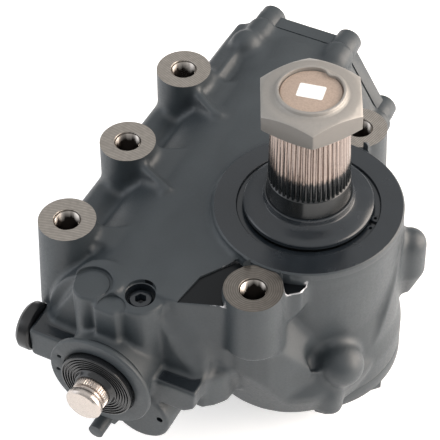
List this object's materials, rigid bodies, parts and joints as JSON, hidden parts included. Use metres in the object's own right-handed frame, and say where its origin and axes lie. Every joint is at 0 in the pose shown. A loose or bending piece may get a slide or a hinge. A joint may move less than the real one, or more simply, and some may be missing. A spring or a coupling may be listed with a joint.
{
  "type": "steering gearbox",
  "caption": "Recirculating-ball power steering gearbox: cast housing with threaded mounting bosses, serrated drop arm shaft with nut, piston, worm, rotary valve and input shaft.",
  "frame": {"origin": "centre of the rectangle of four mounting threads, in the plane of the boss faces", "axes": "+Z out of the boss faces and along the drop arm shaft towards its nut, +Y along the piston axis from the input shaft to the end cover"},
  "size_m": [0.2596, 0.384, 0.2903],
  "materials": {
    "painted_iron": "satin black paint over cast iron",
    "black_steel": "blackened",
    "bearing_steel": "ground",
    "ground_steel": "turned and ground",
    "plated_steel": "dull zinc",
    "black_rubber": "matt",
    "black_plastic": "gloss"
  },
  "bodies": {
    "case": {"housing": "painted_iron", "end_cover": "painted_iron", "end_cover_screws": "black_steel", "end_cover_seal": "black_rubber", "side_cover": "painted_iron", "side_cover_bolts": "black_steel", "side_cover_seal": "black_rubber", "adjusting_screw": "black_steel", "adjusting_nut": "black_steel", "sector_seal": "black_rubber", "seal_snap_ring": "black_steel", "upper_bearing": "bearing_steel", "lower_bearing": "bearing_steel", "input_cover": "painted_iron", "input_seal": "black_rubber", "input_bearing": "bearing_steel", "worm_bearing": "bearing_steel", "core_plug": "painted_iron", "socket_plug": "black_steel", "port_cap": "black_plastic", "limiter_screw": "black_steel", "limiter_nut": "black_steel"},
    "sector": {"sector_shaft": "ground_steel", "drop_arm_nut": "plated_steel", "dust_shield": "ground_steel"},
    "piston_group": {"piston": "ground_steel", "piston_ring": "black_rubber", "ball_nut": "ground_steel", "nut_retainer": "ground_steel", "balls": "bearing_steel"},
    "worm": {"worm_screw": "ground_steel", "valve_sleeve": "ground_steel", "sleeve_rings": "black_rubber"},
    "input": {"input_shaft": "ground_steel", "torsion_bar": "ground_steel", "dust_cover": "black_rubber"}
  },
  "joints": [
    {"name": "sector_turn", "type": "hinge", "parent": "case", "child": "sector", "pos_m": [0.076, 0, 0], "axis": [0, 0, 1], "range_deg": [-45, 45]},
    {"name": "piston_slide", "type": "slide", "parent": "case", "child": "piston_group", "axis": [0, 1, 0], "range_m": [-0.0363, 0.0363]},
    {"name": "worm_turn", "type": "hinge", "parent": "case", "child": "worm", "pos_m": [-0.014, 0, -0.075], "axis": [0, 1, 0], "range_deg": [-966, 966]},
    {"name": "valve_twist", "type": "hinge", "parent": "worm", "child": "input", "pos_m": [-0.014, -0.13, -0.075], "axis": [0, 1, 0], "range_deg": [-5, 5], "stiffness_Nm_per_rad": 6}
  ],
  "couplings": [
    {"joint": "piston_slide", "follows": "sector_turn", "m_per_rad": -0.046},
    {"joint": "worm_turn", "follows": "sector_turn", "ratio": 21.409}
  ]
}
